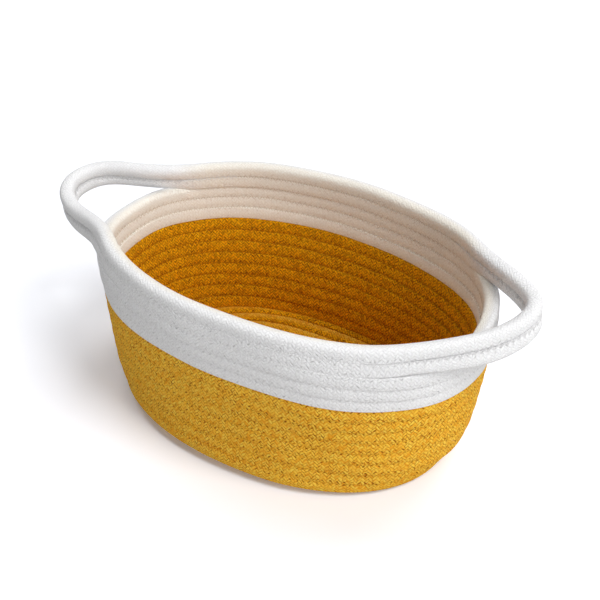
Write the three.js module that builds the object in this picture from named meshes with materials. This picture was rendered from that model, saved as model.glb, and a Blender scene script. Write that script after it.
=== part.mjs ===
// Small oval storage basket, coiled and sewn from thick cotton rope: mustard below, white above, and two white loop handles.
// Millimetres, +Z up, the long axis along X, the floor's underside on z = 0.
import * as THREE from "three";

// Rope
const rowPitch = 9.4; // height of one sewn wall row
const turnGap = 0.5; // clear space kept between two turns of one rope
const ropeWidth = 10; // thickness of the rope across the wall
const ropeFlat = 5.6; // width of the flat that each row rests on
const pieceGap = 0.3; // clear space between two pieces that meet

// Rows
const mustardRows = 8;
const whiteRows = 3; // rows of the white wall below the handles' rows
const handleRows = 2;
const climbShare = 0.66; // share of a turn over which the rope climbs one row
const spliceAngle = 10; // degrees round from +X where each turn begins
const edgeSwell = 1; // how far the first wall row stands out over the floor's edge

// Plan of the wall: half length and half width of the rope's centre line, by height
const floorHalfLength = 116;
const floorHalfWidth = 87;
const footHalfLength = 125.5;
const footHalfWidth = 85.5;
const bellyHalfLength = 131;
const bellyHalfWidth = 89.2;
const shoulderHalfLength = 133.5;
const shoulderHalfWidth = 91;
const rimHalfLength = 129;
const rimHalfWidth = 90;
const footHeight = 27;
const bellyHeight = 78;
const shoulderHeight = 104;
const rimHeight = 124;
const outlineSquareness = 2.2; // exponent of the oval, 2 is an ellipse

// Floor coil
const floorTurnGap = 1.9; // least space asked for between two floor turns
const hairpinRise = 0.3; // share of a turn by which the coil's first run lies off the middle
const firstRunLead = 0.2; // share of a turn by which the first run starts before the middle

const rootStagger = 3; // how much further out the handles' lower ropes leave the rim than the upper ones

// Right handle
const rightBackSetback = 28.7; // how far before the rim's end its ropes leave the rim at the back
const rightFrontSetback = 36.6;
const rightStandOut = 25.4; // how far its middle stands out from the wall's end
const rightShift = 8.8; // how far its middle lies towards the back
const rightBackPull = 45.2; // how far the ropes run on along the rim's direction
const rightFrontPull = 41.7;
const rightEndPull = 23.3; // half width of the bend at its middle
const rightLift = 4; // rise of its middle over its roots
const rightBackLift = 3.4; // how far its back half bulges up
const rightFrontLift = 0.9;

// Left handle
const leftBackSetback = 19.5;
const leftFrontSetback = 28.1;
const leftStandOut = 45.7;
const leftShift = -1.2;
const leftBackPull = 48.7;
const leftFrontPull = 54.3;
const leftEndPull = 33.6;
const leftLift = -2.2;

// Tail of the white rope, laid on the end wall below the right handle
const tailTurn = 0.06; // share of a turn that it runs on
const tailThin = 0.35; // how thin its end is pressed

// Steps along the ropes
const wallSteps = 32;
const floorSteps = 32;
const handleSteps = 16;

const sectionHalfHeight = (rowPitch - turnGap) / 2;
const sectionHalfWidth = ropeWidth / 2;
const fullTurn = 2 * Math.PI;
const splice = THREE.MathUtils.degToRad(spliceAngle);

// A smooth curve through stations, level at the first and last one and with no overshoot between them.
function stationCurve(stations) {
  const slopes = stations.map((station, i) => {
    if (i === 0 || i === stations.length - 1) return 0;
    const before = stations[i - 1];
    const after = stations[i + 1];
    const slopeBefore = (station[1] - before[1]) / (station[0] - before[0]);
    const slopeAfter = (after[1] - station[1]) / (after[0] - station[0]);
    return slopeBefore * slopeAfter <= 0 ? 0 : (2 * slopeBefore * slopeAfter) / (slopeBefore + slopeAfter);
  });
  return (height) => {
    const last = stations.length - 1;
    if (height <= stations[0][0]) return stations[0][1];
    if (height >= stations[last][0]) return stations[last][1];
    const i = stations.findIndex((station) => station[0] > height) - 1;
    const span = stations[i + 1][0] - stations[i][0];
    const t = (height - stations[i][0]) / span;
    return (
      stations[i][1] * (1 + 2 * t) * (1 - t) ** 2 +
      slopes[i] * span * t * (1 - t) ** 2 +
      stations[i + 1][1] * t * t * (3 - 2 * t) +
      slopes[i + 1] * span * t * t * (t - 1)
    );
  };
}

const halfLengthAt = stationCurve([
  [sectionHalfHeight, floorHalfLength],
  [footHeight, footHalfLength],
  [bellyHeight, bellyHalfLength],
  [shoulderHeight, shoulderHalfLength],
  [rimHeight, rimHalfLength],
]);
const halfWidthAt = stationCurve([
  [sectionHalfHeight, floorHalfWidth],
  [footHeight, footHalfWidth],
  [bellyHeight, bellyHalfWidth],
  [shoulderHeight, shoulderHalfWidth],
  [rimHeight, rimHalfWidth],
]);

const signedPower = (value, power) => Math.sign(value) * Math.abs(value) ** power;

// Point and outward direction of an oval of the given half sizes.
function ovalAt(angle, halfLength, halfWidth) {
  const c = Math.cos(angle);
  const s = Math.sin(angle);
  const point = new THREE.Vector2(
    halfLength * signedPower(c, 2 / outlineSquareness),
    halfWidth * signedPower(s, 2 / outlineSquareness),
  );
  const outward = new THREE.Vector2(
    signedPower(c, 2 - 2 / outlineSquareness) / halfLength,
    signedPower(s, 2 - 2 / outlineSquareness) / halfWidth,
  ).normalize();
  return { point, outward };
}

// The rope climbs clockwise seen from above. Its share of one row after a share of a turn:
const climb = (share) => Math.sin((Math.min(share / climbShare, 1) * Math.PI) / 2);
const angleAt = (turns) => splice - fullTurn * turns;
const shareOf = (angle) => THREE.MathUtils.euclideanModulo(splice - angle, fullTurn) / fullTurn;
const rowHeight = (row, share) => sectionHalfHeight + rowPitch * (row + climb(share));

// One station of the wall's rope, counted in turns from the floor's edge.
function wallStation(turns) {
  const row = Math.floor(turns + 1e-9);
  const share = Math.max(turns - row, 0);
  const height = rowHeight(row, share);
  const { point, outward } = ovalAt(angleAt(share), halfLengthAt(height), halfWidthAt(height));
  const swell = row === 0 ? edgeSwell * Math.sin(Math.PI * share) : 0;
  point.addScaledVector(outward, swell);
  return { centre: new THREE.Vector3(point.x, point.y, height), outward, scale: 1 };
}

// Floor: turns of even spacing that grow from a straight run in the middle to the wall's oval.
const floorRoom = floorHalfWidth / (ropeWidth + floorTurnGap);
const topRunShare = shareOf(Math.PI / 2);
const floorTurns = Math.floor(floorRoom + topRunShare - hairpinRise) + 1;
const floorPitch = floorHalfWidth / (floorTurns - topRunShare + hairpinRise);

// The turns grow where they bend and run level along the straights.
function floorStation(turns) {
  const angle = THREE.MathUtils.euclideanModulo(angleAt(turns) + Math.PI, fullTurn) - Math.PI;
  const roughSize = floorHalfWidth - floorPitch * (floorTurns - turns);
  const runReach = floorHalfLength - floorHalfWidth;
  const quarter = Math.PI / 2;
  const runShare = (quarter * runReach) / (runReach + roughSize * quarter);
  const side = Math.abs(angle) < quarter ? 1 : -1;
  const fromEnd = side > 0 ? Math.abs(angle) : Math.PI - Math.abs(angle);
  const bend = Math.min((fromEnd / (quarter - runShare)) * quarter, quarter);
  const run = fromEnd > quarter - runShare ? (quarter - fromEnd) / runShare : 1;
  const turned = side * Math.sign(angle) * (fromEnd - bend);
  const size = roughSize + (floorPitch * turned) / fullTurn;
  const outward = new THREE.Vector2(side * Math.cos(bend), Math.sign(angle) * Math.sin(bend));
  const plan = outward.clone().multiplyScalar(size);
  plan.x += side * runReach * run;
  const wall = ovalAt(angle, floorHalfLength, floorHalfWidth);
  const inset = wall.point.addScaledVector(wall.outward, size - floorHalfWidth);
  plan.lerp(inset, (size / floorHalfWidth) ** 2);
  return { centre: new THREE.Vector3(plan.x, plan.y, sectionHalfHeight), outward, scale: 1 };
}

// Outward directions square to the path, in plan.
function squareToPath(stations) {
  stations.forEach((station, i) => {
    const before = stations[Math.max(i - 1, 0)].centre;
    const after = stations[Math.min(i + 1, stations.length - 1)].centre;
    station.outward = new THREE.Vector2(-(after.y - before.y), after.x - before.x).normalize();
  });
  return stations;
}

// Ends are drawn back so that two pieces that meet keep their gap.
function drawBack(stations, startGap, endGap) {
  const move = (from, towards, distance) => {
    const step = towards.centre.clone().sub(from.centre).setLength(distance);
    from.centre.add(step);
  };
  if (startGap) move(stations[0], stations[1], startGap);
  if (endGap) move(stations[stations.length - 1], stations[stations.length - 2], endGap);
  return stations;
}

const sectionPoints = [
  [sectionHalfWidth, 0],
  [ropeFlat / 2, sectionHalfHeight],
  [-ropeFlat / 2, sectionHalfHeight],
  [-sectionHalfWidth, 0],
  [-ropeFlat / 2, -sectionHalfHeight],
  [ropeFlat / 2, -sectionHalfHeight],
];

// The corner of a station's section, with its underside kept on the row below when it thins.
function sectionCorner(station, corner) {
  const [across, up] = sectionPoints[corner];
  const height = station.centre.z - sectionHalfHeight + (up + sectionHalfHeight) * station.scale;
  return new THREE.Vector3(
    station.centre.x + station.outward.x * across * station.scale,
    station.centre.y + station.outward.y * across * station.scale,
    height,
  );
}

// One unbroken tube of six sides with flat ends.
function ropeGeometry(stations) {
  const sides = sectionPoints.length;
  const positions = [];
  const faces = [];
  stations.forEach((station) => {
    for (let corner = 0; corner < sides; corner += 1) {
      positions.push(...sectionCorner(station, corner).toArray());
    }
  });
  for (let i = 0; i < stations.length - 1; i += 1) {
    for (let corner = 0; corner < sides; corner += 1) {
      const next = (corner + 1) % sides;
      const near = i * sides;
      const far = near + sides;
      faces.push(near + corner, near + next, far + corner);
      faces.push(near + next, far + next, far + corner);
    }
  }
  const lastRing = (stations.length - 1) * sides;
  for (let corner = 1; corner < sides - 1; corner += 1) {
    faces.push(0, corner + 1, corner);
    faces.push(lastRing, lastRing + corner, lastRing + corner + 1);
  }
  const geometry = new THREE.BufferGeometry();
  geometry.setAttribute("position", new THREE.Float32BufferAttribute(positions, 3));
  geometry.setIndex(faces);
  geometry.computeVertexNormals();
  return geometry;
}

function stationsBetween(start, end, stepsPerTurn, stationAt) {
  const count = Math.max(2, Math.round((end - start) * stepsPerTurn));
  return Array.from({ length: count + 1 }, (_, i) => stationAt(start + ((end - start) * i) / count));
}

// Floor coil, from the middle to the floor's edge
const floorStart = topRunShare - firstRunLead;
const floorStations = stationsBetween(floorStart, floorTurns, floorSteps, floorStation);
squareToPath(floorStations);
floorStations[floorStations.length - 1].outward = wallStation(0).outward;
drawBack(floorStations, 0, pieceGap / 2);

// Mustard wall, then the white wall with its tail
const mustardStations = stationsBetween(0, mustardRows, wallSteps, wallStation);
drawBack(mustardStations, pieceGap / 2, pieceGap / 2);

const whiteEnd = mustardRows + whiteRows;
const whiteStations = stationsBetween(mustardRows, whiteEnd, wallSteps, wallStation);
const tailCount = 3;
for (let i = 1; i <= tailCount; i += 1) {
  const station = wallStation(whiteEnd + (tailTurn * i) / tailCount);
  station.scale = 1 - ((1 - tailThin) * i) / tailCount;
  whiteStations.push(station);
}
drawBack(whiteStations, pieceGap / 2, 0);

// Angle on the oval of a row where the rope passes a given distance before the rim's end.
function rootAngle(setback, height) {
  const reach = (rimHalfLength - setback) / halfLengthAt(height);
  return Math.acos(reach ** (outlineSquareness / 2));
}

// Shares of the turn at which a handle row's rope leaves the rim, in the order in which the rope passes them.
function rootShares(row, stagger) {
  const height = rowPitch * (row + 1);
  return {
    rightFront: shareOf(-rootAngle(rightFrontSetback - stagger, height)),
    leftFront: shareOf(Math.PI + rootAngle(leftFrontSetback - stagger, height)),
    leftBack: shareOf(Math.PI - rootAngle(leftBackSetback - stagger, height)),
    rightBack: shareOf(rootAngle(rightBackSetback - stagger, height)),
  };
}

function rimStations(row, startShare, endShare) {
  const steps = Math.max(6, Math.round((endShare - startShare) * wallSteps * 1.2));
  const stations = Array.from({ length: steps + 1 }, (_, i) =>
    wallStation(row + startShare + ((endShare - startShare) * i) / steps),
  );
  return drawBack(stations, pieceGap / 2, pieceGap / 2);
}

// Each handle's ropes pass it in the order of their row: the right one from its back, the left one from its front.
const rightHandle = {
  middle: new THREE.Vector2(shoulderHalfLength + rightStandOut, rightShift),
  bend: new THREE.Vector2(0, rightEndPull),
  startPull: rightBackPull,
  endPull: rightFrontPull,
  lift: rightLift,
  startLift: rightBackLift,
  endLift: rightFrontLift,
};
const leftHandle = {
  middle: new THREE.Vector2(-shoulderHalfLength - leftStandOut, leftShift),
  bend: new THREE.Vector2(0, -leftEndPull),
  startPull: leftFrontPull,
  endPull: leftBackPull,
  lift: leftLift,
  startLift: 0,
  endLift: 0,
};

// A handle's rope leaves the rim along its direction, bends round the handle's middle and comes back.
function handleStations(row, startShare, endShare, handle) {
  const start = wallStation(row + startShare);
  const end = wallStation(row + endShare);
  const along = (station) => new THREE.Vector2(station.outward.y, -station.outward.x);
  const first = new THREE.Vector2(start.centre.x, start.centre.y);
  const last = new THREE.Vector2(end.centre.x, end.centre.y);
  const { middle, bend } = handle;
  const halves = [
    new THREE.CubicBezierCurve(
      first,
      first.clone().addScaledVector(along(start), handle.startPull),
      middle.clone().add(bend),
      middle,
    ),
    new THREE.CubicBezierCurve(
      middle,
      middle.clone().sub(bend),
      last.clone().addScaledVector(along(end), -handle.endPull),
      last,
    ),
  ];
  const half = handleSteps / 2;
  const stations = [];
  for (let i = 0; i <= handleSteps; i += 1) {
    const inStart = i < half;
    const point = inStart ? halves[0].getPoint(i / half) : halves[1].getPoint((i - half) / half);
    const passed = i / handleSteps;
    const level = THREE.MathUtils.lerp(start.centre.z, end.centre.z, passed * passed * (3 - 2 * passed));
    const rise = handle.lift * Math.max(-Math.cos(fullTurn * passed), 0) ** 2;
    const bulge = (inStart ? handle.startLift : handle.endLift) * Math.sin(fullTurn * passed) ** 2;
    stations.push({
      centre: new THREE.Vector3(point.x, point.y, level + rise + bulge),
      outward: new THREE.Vector2(),
      scale: 1,
    });
  }
  squareToPath(stations);
  stations[0].outward = start.outward;
  stations[stations.length - 1].outward = end.outward;
  return drawBack(stations, pieceGap / 2, pieceGap / 2);
}

const mustard = { color: 0xd9a02a, roughness: 0.95, metalness: 0 };
const white = { color: 0xeceae4, roughness: 0.95, metalness: 0 };
const group = new THREE.Group();
const ropes = new Map();

function addRope(name, stations, look) {
  const mesh = new THREE.Mesh(ropeGeometry(stations), new THREE.MeshStandardMaterial(look));
  mesh.name = name;
  group.add(mesh);
  ropes.set(name, stations);
}

addRope("floor_coil", floorStations, mustard);
addRope("mustard_wall_coil", mustardStations, mustard);
addRope("white_wall_coil", whiteStations, white);

for (let i = 0; i < handleRows; i += 1) {
  const row = mustardRows + whiteRows + i;
  const level = i === 0 ? "lower" : "upper";
  const stagger = i === 0 ? rootStagger : 0;
  const { rightFront, leftFront, leftBack, rightBack } = rootShares(row, stagger);
  addRope(`rim_front_${level}_strand`, rimStations(row, rightFront, leftFront), white);
  addRope(`rim_back_${level}_strand`, rimStations(row, leftBack, rightBack), white);
  addRope(`left_handle_${level}_strand`, handleStations(row, leftFront, leftBack, leftHandle), white);
  addRope(`right_handle_${level}_strand`, handleStations(row, rightBack, rightFront, rightHandle), white);
}

// The handles reach out unevenly, so the whole is moved until its box is centred on the origin.
const middle = new THREE.Box3().setFromObject(group).getCenter(new THREE.Vector3());
group.children.forEach((mesh) => mesh.geometry.translate(-middle.x, -middle.y, 0));
console.log(`moved by ${(-middle.x).toFixed(3)}, ${(-middle.y).toFixed(3)} mm`);

// Points on a rope's surface, each with its place along the rope.
function surfacePoints(stations) {
  const points = [];
  const samples = 6;
  let passed = 0;
  for (let i = 0; i < stations.length - 1; i += 1) {
    const length = stations[i].centre.distanceTo(stations[i + 1].centre);
    for (let k = 0; k < samples; k += 1) {
      const t = k / samples;
      for (let corner = 0; corner < sectionPoints.length; corner += 1) {
        const next = (corner + 1) % sectionPoints.length;
        const here = sectionCorner(stations[i], corner).lerp(sectionCorner(stations[i + 1], corner), t);
        const beside = sectionCorner(stations[i], next).lerp(sectionCorner(stations[i + 1], next), t);
        for (let m = 0; m < 3; m += 1) {
          points.push({ place: here.clone().lerp(beside, m / 3), passed: passed + length * t });
        }
      }
    }
    passed += length;
  }
  return points;
}

// Least distance between a rope's points that lie well apart along it.
function leastSelfGap(stations) {
  const cell = 4;
  const apart = 6 * ropeWidth;
  const grid = new Map();
  let least = Infinity;
  const key = (x, y, z) => `${x},${y},${z}`;
  for (const point of surfacePoints(stations)) {
    const [x, y, z] = point.place.toArray().map((value) => Math.floor(value / cell));
    for (let i = -1; i <= 1; i += 1) {
      for (let j = -1; j <= 1; j += 1) {
        for (let k = -1; k <= 1; k += 1) {
          for (const other of grid.get(key(x + i, y + j, z + k)) ?? []) {
            if (point.passed - other.passed < apart) continue;
            least = Math.min(least, point.place.distanceTo(other.place));
          }
        }
      }
    }
    const name = key(x, y, z);
    if (!grid.has(name)) grid.set(name, []);
    grid.get(name).push(point);
  }
  return least;
}

for (const name of ["floor_coil", "mustard_wall_coil", "white_wall_coil"]) {
  console.log(`${name}: least gap to itself ${leastSelfGap(ropes.get(name)).toFixed(2)} mm`);
}

export default group;
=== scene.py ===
import math

import bpy
import numpy as np
from mathutils import Matrix, Vector


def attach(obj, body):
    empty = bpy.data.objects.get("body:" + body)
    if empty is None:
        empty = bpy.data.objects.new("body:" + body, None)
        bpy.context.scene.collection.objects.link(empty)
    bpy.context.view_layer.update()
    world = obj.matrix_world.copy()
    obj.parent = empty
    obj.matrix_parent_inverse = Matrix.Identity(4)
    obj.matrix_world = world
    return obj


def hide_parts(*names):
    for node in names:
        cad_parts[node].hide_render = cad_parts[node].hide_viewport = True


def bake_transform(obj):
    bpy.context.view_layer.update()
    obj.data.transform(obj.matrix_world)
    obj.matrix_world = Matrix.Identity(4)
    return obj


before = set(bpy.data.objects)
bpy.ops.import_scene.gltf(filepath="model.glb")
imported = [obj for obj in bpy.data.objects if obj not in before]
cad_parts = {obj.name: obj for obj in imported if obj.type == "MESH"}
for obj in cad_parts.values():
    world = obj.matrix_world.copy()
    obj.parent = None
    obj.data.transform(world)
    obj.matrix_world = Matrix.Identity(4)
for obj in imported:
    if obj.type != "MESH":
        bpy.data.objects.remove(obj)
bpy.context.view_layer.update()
print("frame loaded")

# Sizes are in millimetres and become metres when a mesh is made.
mm = 0.001
fullTurn = 2 * math.pi

wall = {
    "rowPitch": 9.4,
    "firstHeight": 4.45,  # middle of the lowest row
    "mustardRows": 8,
    "whiteRows": 3,
    "handleRows": 2,  # the top rows, also white, which make the rim and the handles
    "climbShare": 0.66,  # share of a turn over which the rope climbs one row
    "spliceAngle": 10,  # degrees round from +X where a turn begins
    "edgeSwell": 1.0,
    "squareness": 2.2,  # exponent of the oval, 2 is an ellipse
    "lengthHeights": [4.45, 27, 78, 104, 124],
    "halfLengths": [116, 125.5, 131, 133.5, 129],
    "widthHeights": [4.45, 27, 45, 78, 104, 124],
    "halfWidths": [84.5, 84.2, 84.6, 89.2, 91, 90],
    "liftHeights": [4.45, 24, 60, 90, 109, 128],
    "lifts": [0, 1.4, 2.0, 1.6, 0.8, -0.4],  # how much higher the rows lie than an even stack
    "shift": (10.150, 0.048),  # puts the middle of the whole, handles included, over the origin
    "samplesPerTurn": 720,
}
rope = {
    "thickness": 10.4,  # across the wall
    "outerPress": 14.0,  # squareness of the section on the wall's outer face, where rows lie flush
    "innerPress": 8.0,  # and on the inner face
    "loose": 2.35,  # and where nothing presses it
    "overlap": 0.35,  # how far the soft rows sink into each other
    "step": 1.8,  # distance between two rings of the mesh in the wall and the floor
    "ringStep": 1.3,  # and in the two top rows
    "sides": 20,  # of a section in the wall and the floor
    "ringSides": 24,  # and in the two top rows
    "seamed": 3.0,  # squareness where the two strands of a handle are sewn together
}
stitch = {
    "pitch": 4.2,  # one zigzag along the seam
    "reach": 1.7,  # from the seam to the needle holes on each side of it
    "threadRadius": 0.22, "threadSides": 5,
    "holeDepth": 0.3,
    "bridge": 0.05,  # how far the thread stands off the groove that it crosses
}
splice = math.radians(wall["spliceAngle"])
halfTall = wall["rowPitch"] / 2
halfThick = rope["thickness"] / 2
whiteEnd = wall["mustardRows"] + wall["whiteRows"]
allRows = whiteEnd + wall["handleRows"]


def smoothStep(t):
    t = np.clip(t, 0, 1)
    return t * t * (3 - 2 * t)


def unit(vectors):
    return vectors / np.maximum(np.linalg.norm(vectors, axis=-1, keepdims=True), 1e-9)


def curveThrough(places, values):  # smooth, level at both ends, never past the given values
    places, values = np.array(places, float), np.array(values, float)
    steps = np.diff(values) / np.diff(places)
    slopes = np.zeros(len(places))
    for i in range(1, len(places) - 1):
        if steps[i - 1] * steps[i] > 0:
            slopes[i] = 2 * steps[i - 1] * steps[i] / (steps[i - 1] + steps[i])

    def at(x):
        x = np.clip(x, places[0], places[-1])
        i = np.clip(np.searchsorted(places, x, side="right") - 1, 0, len(places) - 2)
        span = places[i + 1] - places[i]
        t = (x - places[i]) / span
        rise = values[i] * (1 + 2 * t) * (1 - t) ** 2 + values[i + 1] * t * t * (3 - 2 * t)
        return rise + span * (slopes[i] * t * (1 - t) ** 2 + slopes[i + 1] * t * t * (t - 1))

    return at


halfLengthAt = curveThrough(wall["lengthHeights"], wall["halfLengths"])
halfWidthAt = curveThrough(wall["widthHeights"], wall["halfWidths"])
liftAt = curveThrough(wall["liftHeights"], wall["lifts"])


def ovalAt(angle, halfLength, halfWidth):
    c, s = np.cos(angle), np.sin(angle)
    power = 2 / wall["squareness"]
    place = [halfLength * np.sign(c) * np.abs(c) ** power, halfWidth * np.sign(s) * np.abs(s) ** power]
    outward = [
        np.sign(c) * np.abs(c) ** (2 - power) / halfLength,
        np.sign(s) * np.abs(s) ** (2 - power) / halfWidth,
    ]
    flat = np.zeros_like(place[0])
    return np.stack(place + [flat], -1), unit(np.stack(outward + [flat], -1))


hand = {  # the maker's hand: slow waves that neighbouring rows share
    "waves": ((0.45, 3, 0.4, 37), (0.35, 5, 2.1, -29), (0.22, 11, 1, 15)),  # mm out, count, phase, slant
    "swings": ((0.3, 4, 1.7), (0.2, 9, 0.3)),  # mm up, count, phase
    "swingHeight": 130,  # where the swings are at their full size
    "settled": 40,  # below this height the floor holds the wall
    "footShare": 0.25,  # what is left of the waves at the foot
    # single places: mm, degrees round, reach in degrees, from height, to height
    "bulges": (
        (2.6, -130, 32, 80, 170), (1.6, 180, 30, -20, 110), (-4.0, -55, 18, -60, 30), (1.2, -15, 14, 5, 60),
        (-1.6, -30, 15, 40, 130),
    ),
    "lifts": ((2.4, -150, 14, 50, 170), (2.6, 35, 13, 70, 170)),
}


def near(angle, at, reach):
    away = (angle - math.radians(at) + math.pi) % fullTurn - math.pi
    return np.exp(-0.5 * (away / math.radians(reach)) ** 2)


def hump(z, low, high):
    return np.sin(math.pi * np.clip((z - low) / (high - low), 0, 1)) ** 2


def locally(angle, z, spots):
    return sum(size * near(angle, at, reach) * hump(z, low, high) for size, at, reach, low, high in spots)


def softened(centre, outward):
    angle = np.arctan2(centre[:, 1] * 1.4, centre[:, 0])
    z = centre[:, 2]
    hold = smoothStep(z / hand["settled"])
    out = sum(size * np.sin(count * angle + phase + z / slant) for size, count, phase, slant in hand["waves"])
    out = out + locally(angle, z, hand["bulges"])
    swing = sum(size * np.sin(count * angle + phase) for size, count, phase in hand["swings"])
    rise = swing * hold * z / hand["swingHeight"] + locally(angle, z, hand["lifts"])
    moved = centre + outward * (out * np.maximum(hold, hand["footShare"]))[:, None]
    moved[:, 2] += rise
    return moved


def climbAt(share):  # how much of a row the rope has climbed after a share of its turn
    return np.sin(np.minimum(np.asarray(share) / wall["climbShare"], 1) * math.pi / 2)


def courseAt(turns):  # middle of the wall's rope, counted in turns from the floor's edge
    turns = np.asarray(turns, float)
    row = np.floor(turns + 1e-9)
    share = np.maximum(turns - row, 0)
    height = wall["firstHeight"] + wall["rowPitch"] * (row + climbAt(share))
    centre, outward = ovalAt(splice - fullTurn * share, halfLengthAt(height), halfWidthAt(height))
    swell = np.where(row == 0, wall["edgeSwell"] * np.sin(math.pi * share), 0)
    centre = centre + outward * swell[:, None]
    centre[:, 2] = height + liftAt(height)
    return softened(centre, outward), outward


def lengthsOf(centre):
    return np.concatenate([[0], np.cumsum(np.linalg.norm(np.diff(centre, axis=0), axis=1))])


wallTurns = np.linspace(0, allRows, allRows * wall["samplesPerTurn"] + 1)
wallLengths = lengthsOf(courseAt(wallTurns)[0])


def lengthAtTurn(turns):
    return np.interp(turns, wallTurns, wallLengths)


def turnAtLength(length):
    return np.interp(length, wallLengths, wallTurns)


# Floor: even turns that grow where they bend, from a straight run in the middle to the wall's oval
floorCoil = {
    "turnGap": 1.9, "ropeWidth": 10, "squareness": 3.4,
    "hairpinRise": 0.3, "firstRunLead": 0.2,  # in turns
    "pushedEnd": 10.6,  # the rope's first end is pushed on into the bend around it, so no hole is left there
    "roundedEnd": 6.5,
    "firstRunSwell": 0.35, "lastTurnSwell": 0.5, "lastTurnRise": 0.8,
    "firstRunReach": 0.7, "lastTurnReach": 1.2, "swellOver": 0.2,  # in turns
    "standOff": 0.02,  # between the rope and the ground
    "samples": 4001,
}
floorLong, floorWide = wall["halfLengths"][0], wall["halfWidths"][0]
topRunShare = ((splice - math.pi / 2) % fullTurn) / fullTurn
floorRoom = floorWide / (floorCoil["ropeWidth"] + floorCoil["turnGap"])
floorTurns = math.floor(floorRoom + topRunShare - floorCoil["hairpinRise"]) + 1
floorPitch = floorWide / (floorTurns - topRunShare + floorCoil["hairpinRise"])
floorStart = topRunShare - floorCoil["firstRunLead"]


def floorAt(turns):
    turns = np.asarray(turns, float)
    angle = (splice - fullTurn * turns + math.pi) % fullTurn - math.pi
    size = floorWide - floorPitch * (floorTurns - turns)
    runReach = floorLong - floorWide
    quarter = math.pi / 2
    runShare = quarter * runReach / (runReach + size * quarter)
    side = np.where(np.abs(angle) < quarter, 1.0, -1.0)
    fromEnd = np.where(side > 0, np.abs(angle), math.pi - np.abs(angle))
    bend = np.minimum(fromEnd / (quarter - runShare) * quarter, quarter)
    run = np.where(fromEnd > quarter - runShare, (quarter - fromEnd) / runShare, 1)
    around = np.where(angle < 0, -1.0, 1.0)
    size = size + floorPitch * side * around * (fromEnd - bend) / fullTurn
    place = np.stack([side * np.cos(bend) * size + side * runReach * run, around * np.sin(bend) * size], -1)
    edge, edgeOut = ovalAt(angle, floorLong, floorWide)
    inset = edge[:, :2] + edgeOut[:, :2] * (size - floorWide)[:, None]
    share = ((size / floorWide) ** 2)[:, None]
    place = place + (inset - place) * share
    centre = np.concatenate([place, np.full((len(place), 1), wall["firstHeight"])], 1)
    return centre, sideways(centre)


def sideways(centre):  # level direction square to the path, away from the middle
    along = np.gradient(centre, axis=0)
    return unit(np.stack([-along[:, 1], along[:, 0], np.zeros(len(along))], -1))


# Handles: the two top rows leave the wall, bend round and come back
rightHandle = {
    "side": 1, "backSetback": 28.7, "frontSetback": 36.6, "standOut": 25.4, "shift": 8.8,
    "backPull": 45.2, "frontPull": 41.7, "endPull": 23.3, "lift": 4.0, "backLift": 3.4, "frontLift": 0.9,
    "backLean": -0.2, "frontLean": -1.6,  # how far the upper rope leans outwards over the lower one
}
leftHandle = {
    "side": -1, "backSetback": 19.5, "frontSetback": 28.1, "standOut": 45.7, "shift": -1.2,
    "backPull": 48.7, "frontPull": 54.3, "endPull": 33.6, "lift": -2.2, "backLift": -0.7, "frontLift": -6.5,
    "backLean": -1.0, "frontLean": 0.9,
}
topRow = {
    "wallPoints": 240, "handlePoints": 120,  # on each run along the wall and each half of a handle
    "letGo": 0.3,  # share of a handle's length over which it leaves the height of its row
    "leanFrom": 0.35, "leanOver": 0.3,  # shares of it, where the back's lean begins to become the front's
    "step": 1.0, "soften": 4.0,  # mm between the even points, and how far each is averaged
    "onWallSoften": 9, "averagedOver": 15,
    "rootOnWall": 0.035,  # share of a handle's length that still lies on the wall
}


def rootShare(handle, end, height):
    reach = (wall["halfLengths"][-1] - handle[end + "Setback"]) / float(halfLengthAt(height))
    angle = math.acos(reach ** (wall["squareness"] / 2)) * (1 if end == "back" else -1)
    if handle["side"] < 0:
        angle = math.pi - angle
    return ((splice - angle) % fullTurn) / fullTurn


def bezier(points, t):
    a, b, c, d = [np.array(p, float) for p in points]
    t = t[:, None]
    return a * (1 - t) ** 3 + 3 * b * t * (1 - t) ** 2 + 3 * c * t * t * (1 - t) + d * t**3


def handleCourse(handle, row, ends):  # in the rope's own direction, clockwise seen from above
    (startName, startShare), (endName, endShare) = ends
    centre, outward = courseAt([row + startShare, row + endShare])
    along = np.stack([outward[:, 1], -outward[:, 0]], -1)
    middle = np.array([handle["side"] * (wall["halfLengths"][3] + handle["standOut"]), handle["shift"]])
    bend = np.array([0, handle["side"] * handle["endPull"]])
    first, last = centre[0, :2], centre[1, :2]
    t = np.linspace(0, 1, topRow["handlePoints"])
    halves = [
        bezier([first, first + along[0] * handle[startName + "Pull"], middle + bend, middle], t),
        bezier([middle, middle - bend, last - along[1] * handle[endName + "Pull"], last], t)[1:],
    ]
    plan = np.concatenate(halves)
    passed = np.linspace(0, 1, len(plan))
    free = smoothStep(np.minimum(passed, 1 - passed) / topRow["letGo"])
    even = wall["firstHeight"] + wall["rowPitch"] * (row + climbAt([startShare, endShare]))
    level = np.interp(smoothStep(passed), [0, 1], centre[:, 2]) * (1 - free)
    level += np.interp(smoothStep(passed), [0, 1], even) * free
    toFront = passed if endName == "front" else 1 - passed
    wave = np.sin(fullTurn * passed) ** 2
    rise = handle["lift"] * np.maximum(-np.cos(fullTurn * passed), 0) ** 2
    rise += np.where(toFront > 0.5, handle["frontLift"], handle["backLift"]) * wave
    turned = np.clip((toFront - topRow["leanFrom"]) / topRow["leanOver"], 0, 1)
    lean = (handle["backLean"] * (1 - turned) + handle["frontLean"] * turned) * free
    lean = lean * (1 if row > whiteEnd else -1)
    out = sideways(np.concatenate([plan, np.zeros((len(plan), 1))], 1))[:, :2]
    return np.concatenate([plan + out * lean[:, None], (level + rise)[:, None]], 1)


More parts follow.
